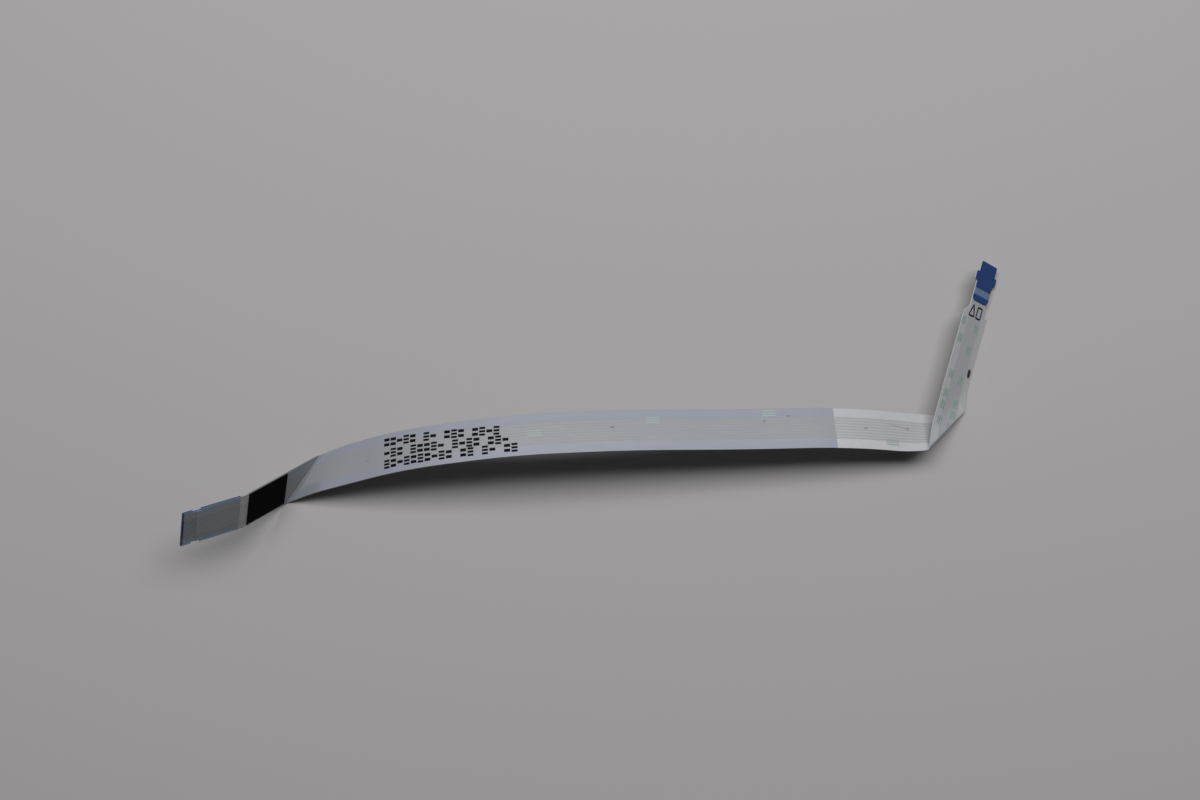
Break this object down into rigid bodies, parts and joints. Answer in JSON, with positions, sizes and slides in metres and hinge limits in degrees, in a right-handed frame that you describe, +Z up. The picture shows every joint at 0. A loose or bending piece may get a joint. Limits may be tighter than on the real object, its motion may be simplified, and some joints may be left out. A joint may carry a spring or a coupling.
{
  "type": "touchpad cable",
  "caption": "Flat flexible cable folded on the slant near both ends, with stiffened contact tips for a laptop touchpad and its board",
  "frame": {"origin": "middle of the base of the bounding box, on the surface the cable rests on", "axes": "+X along the object's longest extent, from the touchpad end to the board end; +Y across it; +Z up, the shortest extent"},
  "size_m": [0.1318, 0.047, 0.017],
  "materials": {
    "film": "white polyester film, satin",
    "cover_tape": "thin bluish white tape, satin",
    "tinned_copper": "dull tin over copper",
    "stiffener": "blue polyester film, satin",
    "black_tape": "black cloth-like tape, matt"
  },
  "bodies": {
    "root": {"base_film": "film", "contact_side_film": "film", "white_cover_tape": "cover_tape", "conductor_1": "tinned_copper", "conductor_2": "tinned_copper", "conductor_3": "tinned_copper", "conductor_4": "tinned_copper", "conductor_5": "tinned_copper", "conductor_6": "tinned_copper", "conductor_7": "tinned_copper", "conductor_8": "tinned_copper", "touchpad_end_stiffener": "stiffener", "board_end_stiffener": "stiffener", "black_tape": "black_tape"}
  },
  "joints": []
}
